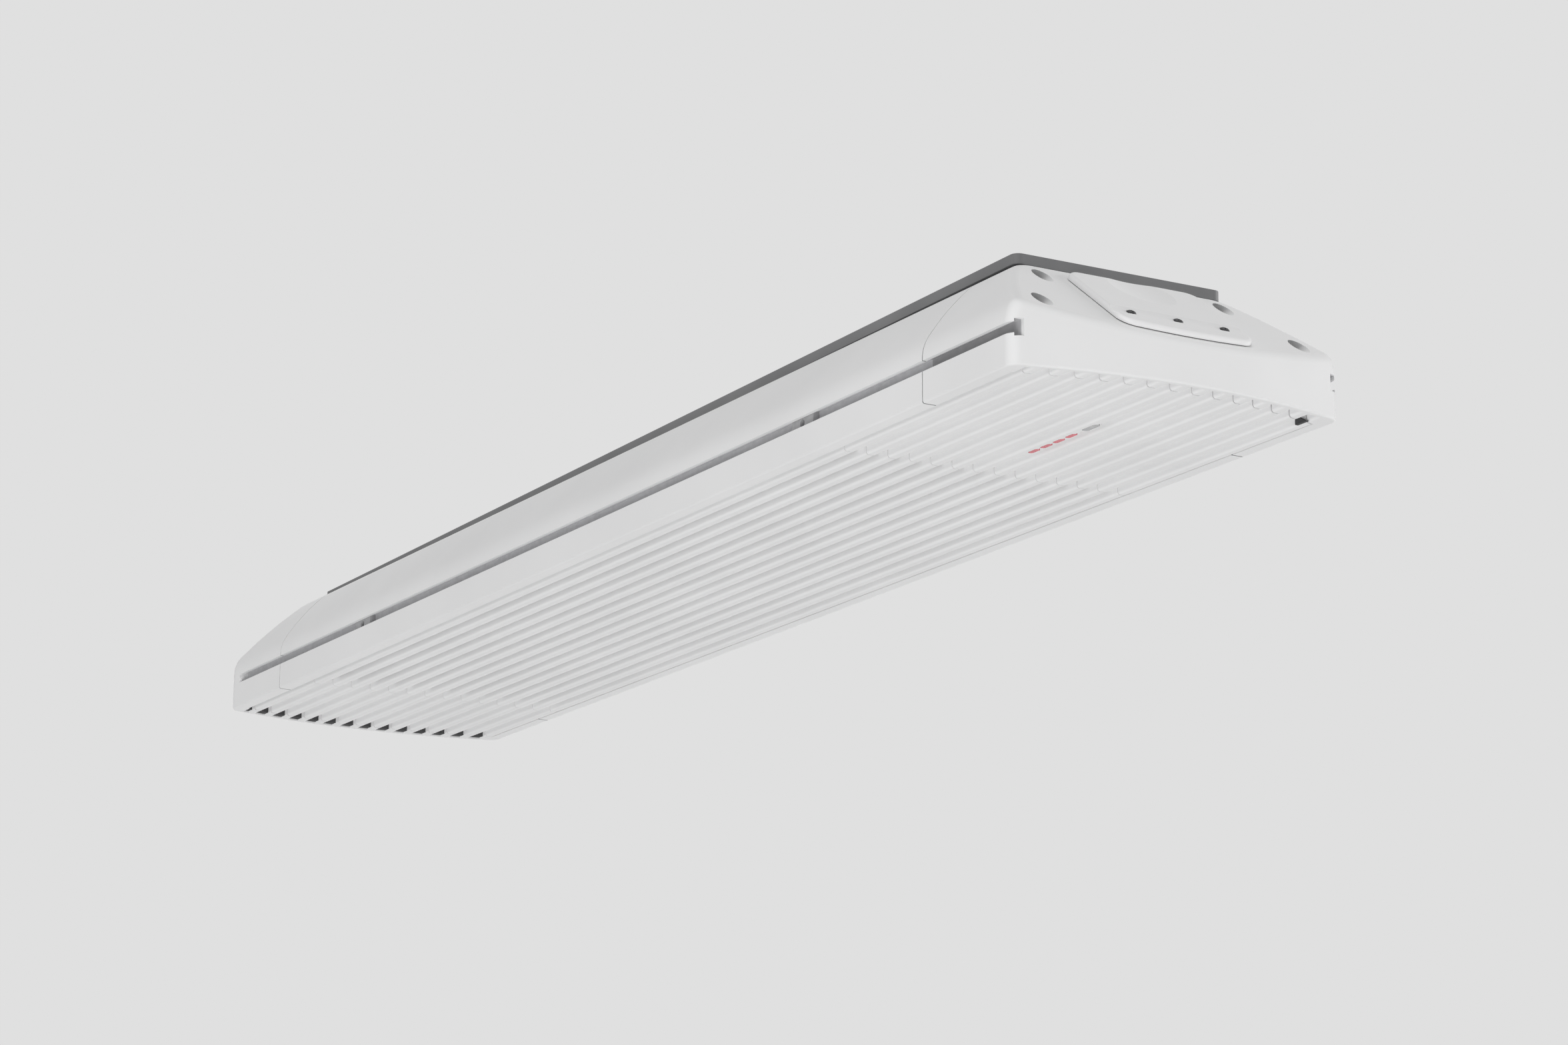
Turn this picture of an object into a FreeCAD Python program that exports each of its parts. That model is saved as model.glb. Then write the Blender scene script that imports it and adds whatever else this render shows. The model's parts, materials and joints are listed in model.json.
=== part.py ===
import FreeCAD, Part
import math
import os

os.makedirs("parts", exist_ok=True)

V = FreeCAD.Vector
ORIGIN = V(0, 0, 0)

# Sizes in millimetres. While it is built, the heater lies with its front face on z = 0,
# its length along X with the control end at +X, and its middle at x = y = 0.
# Each piece is then lowered, so that the ceiling face comes to z = 0 and the front faces down.

# Overall form
body_width = 182.0
corner_length = 872.6
end_bow = 13.7
body_height = 65.0
side_height = 21.0
shoulder_radius = 20.0
shoulder_angle = 33.0
crown_radius = 22.0
crown_angle = 47.0
end_face_height = 21.2
cap_slope = 36.9
shell_wall = 2.2
cap_wall = 2.8
corner_radius = 7.0
hip_radius = 6.0
foot_radius = 1.2
seam_inset = 74.0
gasket_thickness = 0.8
gasket_recess = 0.3
fit = 0.3
seat_gap = 0.15

# Side rails with a T-slot
slot_center_z = 17.65
slit_height = 5.2
slot_lip = 2.0
chamber_depth = 4.0
chamber_height = 8.2
rail_web = 1.4
rail_roof = 4.25
slot_end_inset = 12.0
nut_length = 20.0
nut_bore_radius = 2.1
nut_inset = 186.0

# Ribbed front
rim_end = 12.0
edge_gap = 0.8
panel_thickness = 6.1
valley_depth = 4.6
valley_width = 7.6
rib_edge_radius = 1.5
rib_pitch = 12.15
ledge_depth = 3.0
ledge_thickness = 2.0
tongue_thickness = 0.8
hook_reach = 1.6
hook_height = 1.4
near_panel_length = 163.0
far_panel_length = 98.0
panel_seam = 0.4
slot_margin = 8.0
vent_depth = 9.0
vent_plug_setback = 3.5
vent_plug_sink = 0.8
drain_plug_inset = 7.3
drain_plug_length = 8.5
drain_plug_width = 1.7

# Screws that hold the end caps, along X
lower_screw_inset = 19.5
lower_screw_z = 34.3
upper_screw_inset = 40.0
upper_screw_drop = 8.0
screw_hole_radius = 4.5
port_radius = 4.2
port_web = 2.0
boss_wall = 2.0
cap_screw_radius = 1.9
cap_screw_head_radius = 3.1
cap_screw_head_height = 3.0
cap_screw_length = 24.0
cap_screw_seat = 12.0
thread_clearance = 0.1

# Cover on the slope of each cap
cover_side_inset = 54.0
cover_lip = 3.4
cover_top_inset = 7.0
cover_corner = 8.0
cover_edge_radius = 2.0
cover_thickness = 2.8
cover_gasket_thickness = 0.4
cover_gasket_inset = 0.6
cover_groove_radius = 10.0
cover_groove_depth = 1.0
cover_dish_radius = 90.0
cover_dish_depth = 1.6
cover_dish_inset = 12.0
cover_screw_run = 18.0
cover_screw_side_inset = 11.0
cover_screw_radius = 1.5
cover_screw_head_radius = 2.3
cover_screw_head_height = 1.2
cover_screw_sink = 1.3
cover_screw_length = 9.0
cover_boss_length = 9.0
cover_opening_inset = 12.0
cover_opening_corner = 5.0

# Lamp chamber
seal_thickness = 1.5
seal_width = 2.0
glass_thickness = 4.0
bulkhead_thickness = 1.5
bulkhead_inset = 2.3
lamp_pitch = 64.0
lamp_rise = 14.0
trough_inset = 1.0
reflector_sheet = 0.8
tube_radius = 8.0
tube_wall = 1.0
strip_width = 6.0
strip_thickness = 0.8
collar_radius = 11.5
collar_thickness = 4.0
socket_wall = 1.8
socket_length = 22.0
socket_depth = 10.0
neck_radius = 6.0
neck_length = 12.0
clip_width = 22.0
clip_thickness = 1.2
clip_height = 18.0
clip_grip = 0.6
shield_sheet = 0.8
shield_margin = 26.0
mat_thickness = 6.0
mat_half_width = 40.0
cutout_radius = 7.0
cutout_height = 7.0
cutout_drop = 13.0

# Control end
board_gap = 12.0
board_length = 96.0
board_half_width = 48.0
board_thickness = 1.6
standoff_height = 16.0
standoff_radius = 3.5
standoff_inset = 5.0
relay_size = (28.0, 20.0, 16.0)
capacitor_radius = 6.0
capacitor_height = 18.0
capacitor_pitch = 16.0
transformer_size = (30.0, 26.0, 20.0)
terminal_size = (18.0, 54.0, 15.0)
terminal_poles = 5
terminal_hole_radius = 2.0
terminal_hole_depth = 6.0

# Indicators in the near front panel
indicator_y = -1.2
window_inset = 68.9
window_length = 12.0
window_width = 3.6
lens_inset = 85.3
lens_pitch = 10.5
lens_count = 4
lens_length = 8.0
lens_width = 2.8
lens_flange = 1.0
lens_fit = 0.15
indicator_board_width = 14.0
indicator_board_margin = 4.0

# Ceiling plate
plate_thickness = 5.0
plate_side_inset = 32.6
plate_taper = 8.4
plate_setback = 0.3
plate_corner = 4.0
bolt_spacing_x = 500.0
bolt_side_inset = 23.4
bolt_hole_radius = 3.3
weld_nut_radius = 6.0
weld_nut_bore_radius = 2.5
weld_nut_height = 6.0
plate_screw_spacing_x = 300.0
plate_screw_side_inset = 33.4
plate_screw_radius = 2.4
plate_screw_head_radius = 4.6
plate_screw_head_height = 2.4
plate_screw_sink = 0.2
plate_screw_length = 11.0
grommet_inset = 106.0
grommet_hole_radius = 9.0
grommet_bore_radius = 5.0
grommet_flange = 2.5
grommet_flange_thickness = 1.5
plate_inlet_radius = 15.0

# Values worked out from the sizes
half_width = body_width / 2
half_length = corner_length / 2
overall_height = body_height + plate_thickness
reach = corner_length
seam_x = half_length - seam_inset
shell_end = seam_x - gasket_thickness / 2
cap_start = seam_x + gasket_thickness / 2
bow_radius = (half_width ** 2 + end_bow ** 2) / (2 * end_bow)
bow_center_x = half_length + end_bow - bow_radius
end_x = half_length + end_bow
slope_turn = math.radians(cap_slope)
slope_length = (body_height - end_face_height) / math.sin(slope_turn)
roof_end_x = end_x - slope_length * math.cos(slope_turn)
rail_depth = slot_lip + chamber_depth + rail_web
rail_inner = half_width - rail_depth
slit_low = slot_center_z - slit_height / 2
slit_high = slot_center_z + slit_height / 2
chamber_low = slot_center_z - chamber_height / 2
chamber_high = slot_center_z + chamber_height / 2
rail_height = chamber_high + rail_roof
panel_half = rail_inner - edge_gap
ledge_inner = rail_inner - ledge_depth
ledge_top = panel_thickness + ledge_thickness
tongue_outer = ledge_inner - fit
tongue_inner = tongue_outer - tongue_thickness
chamber_half = tongue_inner - 2 * fit
grille_near = half_length - near_panel_length
grille_far = far_panel_length - half_length
near_wall_x = grille_near - bulkhead_inset
far_wall_x = grille_far + bulkhead_inset
glass_bottom = panel_thickness + seal_thickness
glass_top = glass_bottom + glass_thickness
lamp_z = glass_top + lamp_rise
trough_radius = lamp_pitch / 2 - trough_inset
reflector_top = glass_top + trough_radius + reflector_sheet
shield_bottom = reflector_top + seat_gap
mat_bottom = shield_bottom + shield_sheet
rib_count = 2 * int(panel_half / rib_pitch + 0.5)
rib_walls = [(k - (rib_count - 1) / 2) * rib_pitch for k in range(rib_count)]
cutout_z = body_height - cutout_drop
board_x = near_wall_x + bulkhead_thickness + board_gap
board_bottom = panel_thickness + standoff_height
board_top = board_bottom + board_thickness
cover_half_width = half_width - cover_side_inset
cover_length = slope_length - cover_top_inset
cover_face = cover_gasket_thickness + cover_thickness
cover_screw_pitch = cover_half_width - cover_screw_side_inset
plate_half_width = half_width - plate_side_inset
bolt_spacing_y = 2 * (plate_half_width - bolt_side_inset)
plate_screw_spacing_y = 2 * (plate_half_width - plate_screw_side_inset)
grommet_x = half_length - grommet_inset
upper_screw_z = body_height - upper_screw_drop
screw_places = [
    (half_width - lower_screw_inset, lower_screw_z),
    (half_width - upper_screw_inset, upper_screw_z),
]


# Small helpers

def box(x0, x1, y0, y1, z0, z1):
    return Part.makeBox(x1 - x0, y1 - y0, z1 - z0, V(x0, y0, z0))


def rod_x(x0, x1, y, z, radius):
    return Part.makeCylinder(radius, x1 - x0, V(x0, y, z), V(1, 0, 0))


def rod_z(x, y, z0, z1, radius):
    return Part.makeCylinder(radius, z1 - z0, V(x, y, z0))


def mirror_x(shape):
    return shape.mirror(ORIGIN, V(1, 0, 0))


def mirror_y(shape):
    return shape.mirror(ORIGIN, V(0, 1, 0))


def both_sides(shape):
    return [shape, mirror_y(shape)]


def rounded_bar(x, y, length, width, z0, z1):
    """Upright prism with a stadium outline, its length along X."""
    radius = width / 2
    straight = length / 2 - radius
    middle = box(x - straight, x + straight, y - radius, y + radius, z0, z1)
    ends = [rod_z(x + side * straight, y, z0, z1, radius) for side in (-1, 1)]
    return middle.fuse(ends).removeSplitter()


def save(name, *shapes):
    solids = [solid for shape in shapes for solid in shape.Solids]
    group = solids[0] if len(solids) == 1 else Part.makeCompound(solids)
    group = group.copy()
    group.translate(V(0, 0, -overall_height))
    group.exportStep("parts/%s.step" % name)
    valid = "" if group.isValid() else "  NOT VALID"
    print("%-22s %2d solids %10.1f mm3%s" % (name, len(solids), group.Volume, valid))


# Outer form: an arched section along X, closed at each end by a slope on a bowed face

def arc_yz(center, radius, start, end):
    """Arc in the YZ plane about a (y, z) centre, with angles in degrees from +Y."""
    points = []
    for angle in (start, (start + end) / 2, end):
        turn = math.radians(angle)
        points.append(V(0, center[0] + radius * math.cos(turn), center[1] + radius * math.sin(turn)))
    return Part.Arc(*points).toShape()


def shifted(center, distance, angle):
    turn = math.radians(angle)
    return (center[0] + distance * math.cos(turn), center[1] + distance * math.sin(turn))


def section_face(inset, floor_z):
    """Arched section set in from the outside by inset, standing on floor_z."""
    sine_span = math.sin(math.radians(crown_angle)) - math.sin(math.radians(shoulder_angle))
    shoulder_rise = shoulder_radius * math.sin(math.radians(shoulder_angle))
    crown_rise = crown_radius * (1 - math.sin(math.radians(crown_angle)))
    slope_radius = (body_height - side_height - shoulder_rise - crown_rise) / sine_span
    shoulder = (half_width - shoulder_radius, side_height)
    slope = shifted(shoulder, shoulder_radius - slope_radius, shoulder_angle)
    crown = shifted(slope, slope_radius - crown_radius, crown_angle)
    flank = half_width - inset
    top = body_height - inset
    right = [
        Part.makeLine(V(0, flank, floor_z), V(0, flank, side_height)),
        arc_yz(shoulder, shoulder_radius - inset, 0, shoulder_angle),
        arc_yz(slope, slope_radius - inset, shoulder_angle, crown_angle),
        arc_yz(crown, crown_radius - inset, crown_angle, 90),
    ]
    left = [mirror_y(edge) for edge in right]
    roof = Part.makeLine(V(0, crown[0], top), V(0, -crown[0], top))
    floor = Part.makeLine(V(0, -flank, floor_z), V(0, flank, floor_z))
    return Part.Face(Part.Wire(Part.__sortEdges__(right + left + [roof, floor])))


def section_prism(inset, x0, x1, floor_z=0.0):
    face = section_face(inset, floor_z)
    face.translate(V(x0, 0, 0))
    return face.extrude(V(x1 - x0, 0, 0))


def slope_wedge(inset, x0, floor_z):
    """Space under the slope of a cap, from x0 to just past the end face."""
    x1 = end_x + rim_end
    rise = math.tan(slope_turn)
    crest = end_face_height - inset / math.cos(slope_turn)
    points = [V(x0, -body_width, floor_z), V(x1, -body_width, floor_z),
              V(x1, -body_width, crest - (x1 - end_x) * rise),
              V(x0, -body_width, crest + (end_x - x0) * rise)]
    face = Part.Face(Part.makePolygon(points + points[:1]))
    return face.extrude(V(0, 2 * body_width, 0))


def end_form(inset, x0, floor_z=0.0):
    bow = rod_z(bow_center_x, 0, floor_z, overall_height, bow_radius - inset)
    bow.rotate(V(bow_center_x, 0, 0), V(0, 0, 1), 180)
    form = section_prism(inset, x0, reach, floor_z).common(slope_wedge(inset, x0, floor_z))
    return form.common(bow)


def rounded_end():
    """Outside of a cap, with its upright corners, hips, crease and foot rounded over."""
    form = end_form(0, cap_start)
    uprights = [edge for edge in form.Edges
                if edge.BoundBox.XMin > half_length - corner_radius and edge.BoundBox.YLength < corner_radius
                and edge.BoundBox.ZMax > fit and not on_slope_plane(edge)]
    form = form.makeFillet(corner_radius, uprights)
    form = form.makeFillet(hip_radius, [edge for edge in form.Edges if on_slope_plane(edge)])
    foot = [edge for edge in form.Edges
            if edge.BoundBox.XMax > cap_start + fit and edge.BoundBox.ZMax < fit]
    return form.makeFillet(foot_radius, foot)


def on_slope_plane(edge):
    """True for an edge that lies in the slope of the near cap."""
    out = V(math.sin(slope_turn), 0, math.cos(slope_turn))
    foot = V(end_x, 0, end_face_height)
    return all(abs((vertex.Point - foot).dot(out)) < fit for vertex in edge.Vertexes)


def rounded_section(inset, x0, x1):
    """Stretch of the arched section with its lower edges rounded over."""
    prism = section_prism(inset, x0, x1)
    foot = [edge for edge in prism.Edges
            if edge.BoundBox.XLength > (x1 - x0) / 2 and edge.BoundBox.ZMax < fit]
    return prism.makeFillet(foot_radius, foot)


# Features shared by the shell, the gaskets and the caps

def rails(x0, x1):
    return both_sides(box(x0, x1, rail_inner, half_width, 0, rail_height))


def ledges(x0, x1):
    return both_sides(box(x0, x1, ledge_inner, rail_inner + rail_web / 2, panel_thickness, ledge_top))


def slots(x0, x1):
    """T-slot of both flanks: a slit through the lip and the wider chamber behind it."""
    chamber_outer = half_width - slot_lip
    slit = box(x0, x1, chamber_outer - slot_lip, reach, slit_low, slit_high)
    chamber = box(x0, x1, chamber_outer - chamber_depth, chamber_outer, chamber_low, chamber_high)
    return both_sides(slit) + both_sides(chamber)


def screw_ports(x0, x1, extra):
    """Long bosses for the cap screws, each tied to the nearest wall by a web."""
    (lower_y, lower_z), (upper_y, upper_z) = screw_places
    web = port_web / 2 + extra
    shapes = []
    shapes += both_sides(rod_x(x0, x1, lower_y, lower_z, port_radius + extra))
    shapes += both_sides(rod_x(x0, x1, upper_y, upper_z, port_radius + extra))
    shapes += both_sides(box(x0, x1, lower_y, half_width, lower_z - web, lower_z + web))
    shapes += both_sides(box(x0, x1, upper_y - web, upper_y + web, upper_z, body_height))
    return shapes


def screw_bores(x0, x1, radius):
    return [bore for y, z in screw_places for bore in both_sides(rod_x(x0, x1, y, z, radius))]


def frame_ring(inset, x0, x1):
    """Stretch of the housing section: the arch with its rails, ledges and screw ports."""
    outer = rounded_section(inset, x0, x1)
    arch = outer.cut(section_prism(shell_wall, x0, x1, -body_height))
    inner = Part.makeCompound(rails(x0, x1) + ledges(x0, x1) + screw_ports(x0, x1, 0))
    ring = arch.fuse([outer.common(solid) for solid in inner.Solids])
    bores = screw_bores(x0, x1, cap_screw_radius + thread_clearance)
    return ring.cut(slots(x0, x1) + bores).removeSplitter()


def rail_zone():
    return box(-reach, reach, -half_width, half_width, 0, slit_low)


def strip_zones():
    return both_sides(box(-reach, reach, rail_inner, rail_inner + rail_web, chamber_low, chamber_high))


def housing_shell():
    """Hood over the body, down to the upper lip of the slots."""
    shell = frame_ring(0, -shell_end, shell_end).cut(strip_zones() + [rail_zone()])
    holes = [rod_z(x, y, body_height - 2 * shell_wall, overall_height, weld_nut_radius + fit)
             for x, y in bolt_places()]
    holes += [rod_z(x, y, body_height - 2 * shell_wall, overall_height, plate_screw_radius + fit)
              for x, y in plate_screw_places()]
    holes.append(rod_z(grommet_x, 0, body_height - 2 * shell_wall, overall_height, grommet_hole_radius))
    return shell.cut(holes)


def side_rails():
    """Bars along the front, each with the lower lip of a slot and the ledge that carries the panels."""
    bars = frame_ring(0, -shell_end, shell_end).common(rail_zone()).cut(strip_zones())
    return sorted(bars.Solids, key=lambda bar: bar.CenterOfMass.y)


def slot_strips():
    """Flat strips that close the back of the slots and tie the rails to the hood."""
    ring = frame_ring(0, -shell_end, shell_end)
    return [ring.common(zone) for zone in reversed(strip_zones())]


def cap_gasket():
    return frame_ring(gasket_recess, shell_end, cap_start)


# Ribbed front

def valley(y_wall, x0, x1):
    """Prism of one saw-tooth valley: a slope that rises to an upright wall with a rounded lip."""
    start = V(x0, y_wall - valley_width, 0)
    land = V(x0, y_wall + rib_edge_radius, 0)
    lip = V(x0, y_wall, rib_edge_radius)
    top = V(x0, y_wall, valley_depth)
    middle = rib_edge_radius * (1 - math.sqrt(0.5))
    rounding = Part.Arc(land, V(x0, y_wall + middle, middle), lip).toShape()
    edges = [Part.makeLine(start, land), rounding, Part.makeLine(lip, top), Part.makeLine(top, start)]
    solid = Part.Face(Part.Wire(edges)).extrude(V(x1 - x0, 0, 0))
    return solid.common(box(x0, x1, -panel_half, panel_half, -valley_depth, panel_thickness))


def valleys(x0, x1):
    return [valley(y, x0, x1) for y in rib_walls]


def panel_plan(gap, z0, z1):
    """Space inside the rims, set in by gap, with the bowed line at both ends."""
    side = rail_inner - gap
    flat = box(-reach, reach, -side, side, z0, z1)
    near_round = rod_z(bow_center_x, 0, z0, z1, bow_radius - rim_end - gap)
    far_round = rod_z(-bow_center_x, 0, z0, z1, bow_radius - rim_end - gap)
    near_half = flat.common(box(0, reach, -side, side, z0, z1)).common(near_round)
    far_half = flat.common(box(-reach, 0, -side, side, z0, z1)).common(far_round)
    return near_half.fuse(far_half)


def ribbed_panel(x0, x1):
    """Stretch of the front: saw-tooth outside, flat back, hooked tongues along both edges."""
    plate = box(x0, x1, -panel_half, panel_half, 0, panel_thickness).cut(valleys(x0, x1))
    plate = plate.common(panel_plan(edge_gap, 0, panel_thickness))
    barb_low = ledge_top + fit
    tongue = box(x0, x1, tongue_inner, tongue_outer, panel_thickness, barb_low + hook_height)
    barb = box(x0, x1, tongue_outer, tongue_outer + fit + hook_reach, barb_low, barb_low + hook_height)
    hooks = both_sides(tongue.fuse(barb))
    hooks = [hook.common(hook_limits()) for hook in hooks]
    return plate.fuse(hooks).removeSplitter()


def hook_limits():
    """Stretch of the length where the tongues run, clear of the ledges at both ends."""
    corner_run = bow_radius - rim_end - ledge_depth - fit
    end_x = bow_center_x + math.sqrt(corner_run ** 2 - half_width ** 2)
    return box(-end_x, end_x, -half_width, half_width, 0, reach)


def front_grille():
    x0 = grille_far + panel_seam / 2
    x1 = grille_near - panel_seam / 2
    length = x1 - x0 - 2 * slot_margin
    cuts = []
    for y in rib_walls:
        if y - valley_width > -tongue_inner:
            cuts.append(rounded_bar((x0 + x1) / 2, y - valley_width / 2, length, valley_width,
                                    -panel_thickness, 2 * panel_thickness))
    return ribbed_panel(x0, x1).cut(cuts)


def near_front_panel():
    holes = [rounded_bar(x, indicator_y, length + 2 * lens_fit, width + 2 * lens_fit,
                         -panel_thickness, 2 * panel_thickness)
             for x, length, width in indicator_places()]
    return ribbed_panel(grille_near + panel_seam / 2, reach).cut(holes)


def far_front_panel():
    return ribbed_panel(-reach, grille_far - panel_seam / 2)


# End caps, built for the near end

def on_slope(shape):
    """Lay a shape that is made flat, with the crease at x = 0, onto the slope of the near cap."""
    laid = shape.copy()
    laid.rotate(ORIGIN, V(0, 1, 0), cap_slope)
    laid.translate(V(end_x, 0, end_face_height))
    return laid


def cover_blank(inset, low, high):
    """Flat outline of the cover, its lower edge bowed like the end face."""
    side = cover_half_width - inset
    lip = cover_lip + inset
    sag = bow_radius - math.sqrt(bow_radius ** 2 - side ** 2)
    corner = lip + sag / math.cos(slope_turn)
    top = cover_length - inset
    bow = Part.Arc(V(-corner, -side, low), V(-lip, 0, low), V(-corner, side, low)).toShape()
    rest = Part.makePolygon([V(-corner, side, low), V(-top, side, low), V(-top, -side, low),
                             V(-corner, -side, low)])
    blank = Part.Face(Part.Wire([bow] + rest.Edges)).extrude(V(0, 0, high - low))
    uprights = [edge for edge in blank.Edges if edge.BoundBox.ZLength > (high - low) / 2]
    return blank.makeFillet(cover_corner - inset, uprights)


def cover_rods(radius, low, high):
    """Rods along the three cover screws, between two heights over the slope."""
    return [rod_z(-cover_screw_run, side * cover_screw_pitch, low, high, radius) for side in (-1, 0, 1)]


def cover_opening():
    """Way in to the wiring space, under the cover."""
    side = cover_half_width - cover_opening_inset
    opening = box(cover_opening_inset - cover_length, -cover_screw_run - cover_opening_inset,
                  -side, side, -3 * cap_wall, cap_wall)
    corners = [edge for edge in opening.Edges if edge.BoundBox.ZLength > cap_wall]
    return opening.makeFillet(cover_opening_corner, corners)


def vent_teeth(start):
    """Saw-tooth notches in the rim, from start inside it to their closed ends."""
    outer = rod_z(bow_center_x, 0, 0, panel_thickness, bow_radius - rim_end + vent_depth)
    inner = rod_z(bow_center_x, 0, 0, panel_thickness, bow_radius - rim_end + start)
    ring = outer.cut(inner)
    return [tooth.common(ring) for tooth in valleys(cap_start, reach)]


def vent_plugs():
    """Dark foam in the notches of the rim, a little behind the front face."""
    above = box(0, reach, -half_width, half_width, vent_plug_sink, panel_thickness)
    return [tooth.common(above) for tooth in vent_teeth(vent_plug_setback)]


def drain_plug():
    """Wedge of dark foam on the last rib wall, where the near panel meets the rim."""
    x1 = half_length - drain_plug_inset
    x0 = x1 - drain_plug_length
    y = rib_walls[-1] - drain_plug_width
    points = [V(x0, y, 0), V(x1, y, 0), V(x0, y, valley_depth)]
    wedge = Part.Face(Part.makePolygon(points + points[:1])).extrude(V(0, drain_plug_width, 0))
    return wedge.common(valley(rib_walls[-1], x0, x1))


def end_cap(slot_end_x):
    outer = rounded_end()
    shell = outer.cut(end_form(cap_wall, cap_start - cap_wall, -body_height))
    slab = outer.common(box(0, reach, -half_width, half_width, 0, ledge_top))
    rim = slab.cut([panel_plan(0, -panel_thickness, panel_thickness),
                    panel_plan(ledge_depth, 0, 2 * ledge_top)])
    inner = rails(cap_start, reach)
    for y, z in screw_places:
        inner += both_sides(rod_x(cap_start, reach, y, z, screw_hole_radius + boss_wall))
    inner += [on_slope(rod) for rod in cover_rods(cover_screw_radius + boss_wall, -cover_boss_length, 0)]
    body = shell.fuse([rim] + [outer.common(solid) for solid in inner])
    cuts = [on_slope(cover_opening())]
    cuts += [on_slope(rod) for rod in cover_rods(cover_screw_radius + thread_clearance,
                                                 -2 * cover_boss_length, cap_wall)]
    cuts += screw_bores(cap_start + cap_screw_seat, reach, screw_hole_radius)
    cuts += screw_bores(cap_start, cap_start + cap_screw_seat, cap_screw_radius + fit)
    cuts += slots(cap_start, slot_end_x) + vent_teeth(-edge_gap)
    return body.cut(cuts).removeSplitter()


def cover_gasket():
    blank = cover_blank(cover_gasket_inset, 0, cover_gasket_thickness)
    cuts = cover_rods(cover_screw_radius + fit, 0, cover_gasket_thickness) + [cover_opening()]
    return on_slope(blank.cut(cuts))


def cap_cover():
    plate = cover_blank(0, cover_gasket_thickness, cover_face)
    rim = [edge for edge in plate.Edges if edge.BoundBox.ZMin > cover_face - cover_edge_radius / 2]
    plate = plate.makeFillet(cover_edge_radius, rim)
    groove_z = cover_face + cover_groove_radius - cover_groove_depth
    groove = Part.makeCylinder(cover_groove_radius, body_width, V(-cover_screw_run, -half_width, groove_z),
                               V(0, 1, 0))
    dish_z = cover_face + cover_dish_radius - cover_dish_depth
    dish = Part.makeSphere(cover_dish_radius, V(cover_dish_inset - cover_length, 0, dish_z))
    seat = cover_face - cover_screw_sink
    cuts = [groove, dish]
    cuts += cover_rods(cover_screw_radius + fit, 0, cover_face)
    cuts += cover_rods(cover_screw_head_radius + fit, seat, cover_face)
    return on_slope(plate.cut(cuts))


def cover_screws():
    seat = cover_face - cover_screw_sink
    heads = cover_rods(cover_screw_head_radius, seat, seat + cover_screw_head_height)
    shanks = cover_rods(cover_screw_radius, seat - cover_screw_length, seat)
    return [on_slope(head.fuse(shank).removeSplitter()) for head, shank in zip(heads, shanks)]


def cap_screws():
    seat = cap_start + cap_screw_seat
    screws = []
    for y, z in screw_places:
        head = rod_x(seat, seat + cap_screw_head_height, y, z, cap_screw_head_radius)
        shank = rod_x(seat - cap_screw_length, seat, y, z, cap_screw_radius)
        screws += both_sides(head.fuse(shank).removeSplitter())
    return screws


# Lamp chamber

def glass_seal():
    outer = box(far_wall_x, near_wall_x, -chamber_half, chamber_half, panel_thickness, glass_bottom)
    hole = box(far_wall_x + seal_width, near_wall_x - seal_width,
               seal_width - chamber_half, chamber_half - seal_width, 0, 2 * glass_bottom)
    return outer.cut(hole)


def front_glass():
    return box(far_wall_x, near_wall_x, -chamber_half, chamber_half, glass_bottom, glass_top)


def reflector():
    """Bent sheet with a half-round trough over each lamp, flat between and outside them."""
    sheet = box(far_wall_x, near_wall_x, -chamber_half, chamber_half, glass_top, glass_top + reflector_sheet)
    above = box(far_wall_x, near_wall_x, -half_width, half_width, glass_top, overall_height)
    skins = []
    troughs = []
    for side in (-1, 1):
        y = side * lamp_pitch / 2
        skin = rod_x(far_wall_x, near_wall_x, y, glass_top, trough_radius + reflector_sheet)
        skins.append(skin.common(above))
        troughs.append(rod_x(far_wall_x, near_wall_x, y, glass_top, trough_radius))
    return sheet.fuse(skins).cut(troughs).removeSplitter()


def bulkhead(x0):
    plate = section_prism(shell_wall + fit, x0, x0 + bulkhead_thickness, panel_thickness)
    plate = plate.common(box(-reach, reach, -chamber_half, chamber_half, panel_thickness, overall_height))
    holes = [rod_x(x0, x0 + bulkhead_thickness, side * lamp_pitch / 2, lamp_z, neck_radius + fit)
             for side in (-1, 1)]
    return plate.cut(screw_ports(x0, x0 + bulkhead_thickness, fit) + holes)


def lamp_tube(side):
    y = side * lamp_pitch / 2
    x0 = far_wall_x + socket_length - socket_depth
    x1 = near_wall_x - socket_length + socket_depth
    return rod_x(x0, x1, y, lamp_z, tube_radius).cut(rod_x(x0, x1, y, lamp_z, tube_radius - tube_wall))


def heating_element(side):
    y = side * lamp_pitch / 2
    return box(far_wall_x + socket_length - socket_depth, near_wall_x - socket_length + socket_depth,
               y - strip_width / 2, y + strip_width / 2,
               lamp_z - strip_thickness / 2, lamp_z + strip_thickness / 2)


def lamp_end(side):
    """Ceramic end at the near wall: collar on the wall, socket for the tube, neck through the wall."""
    y = side * lamp_pitch / 2
    collar = rod_x(near_wall_x - collar_thickness, near_wall_x, y, lamp_z, collar_radius)
    socket = rod_x(near_wall_x - socket_length, near_wall_x, y, lamp_z, tube_radius + fit + socket_wall)
    neck = rod_x(near_wall_x, near_wall_x + neck_length, y, lamp_z, neck_radius)
    hole = rod_x(near_wall_x - socket_length, near_wall_x - socket_length + socket_depth,
                 y, lamp_z, tube_radius + seat_gap)
    return collar.fuse([socket, neck]).cut(hole).removeSplitter()


def lamp_clip(side):
    """Flat spring clip on the outside of the near wall, pushed over the neck from below."""
    y = side * lamp_pitch / 2
    x0 = near_wall_x + bulkhead_thickness
    x1 = x0 + clip_thickness
    grip = neck_radius + seat_gap
    plate = box(x0, x1, y - clip_width / 2, y + clip_width / 2,
                lamp_z - clip_height / 2, lamp_z + clip_height / 2)
    throat = box(x0, x1, y - grip + clip_grip, y + grip - clip_grip, lamp_z - clip_height, lamp_z)
    return plate.cut([rod_x(x0, x1, y, lamp_z, grip), throat])


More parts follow.
